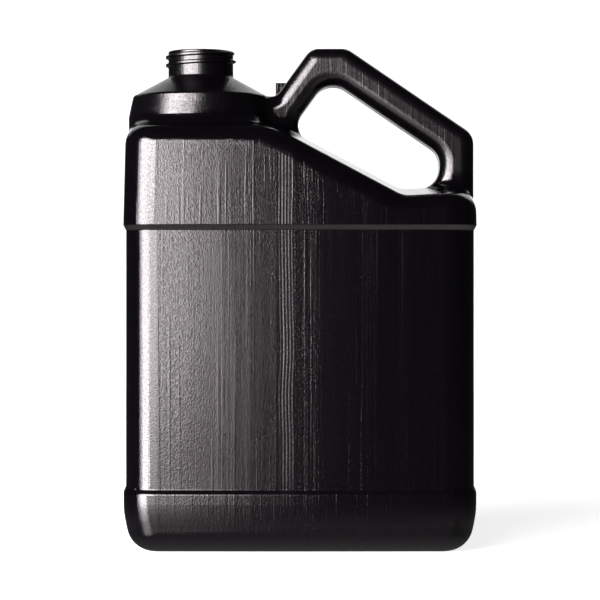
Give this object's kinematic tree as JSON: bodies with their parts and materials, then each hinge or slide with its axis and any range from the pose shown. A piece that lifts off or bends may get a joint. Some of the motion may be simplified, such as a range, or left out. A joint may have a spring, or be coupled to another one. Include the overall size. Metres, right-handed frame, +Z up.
{
  "type": "jug",
  "caption": "Large black plastic F-style jug, blow moulded in one piece: rectangular body with a recessed label panel, sloped shoulder, hollow angled carry handle and an open threaded neck",
  "frame": {"origin": "middle of the footprint, at the height of the foot", "axes": "+X across the wide front towards the handle side, +Y from front to back across the parting plane, +Z up"},
  "size_m": [0.1846, 0.1158, 0.2613],
  "materials": {
    "body": "fine satin grain with faint vertical die lines"
  },
  "bodies": {
    "root": {"jug": "body"}
  },
  "joints": []
}
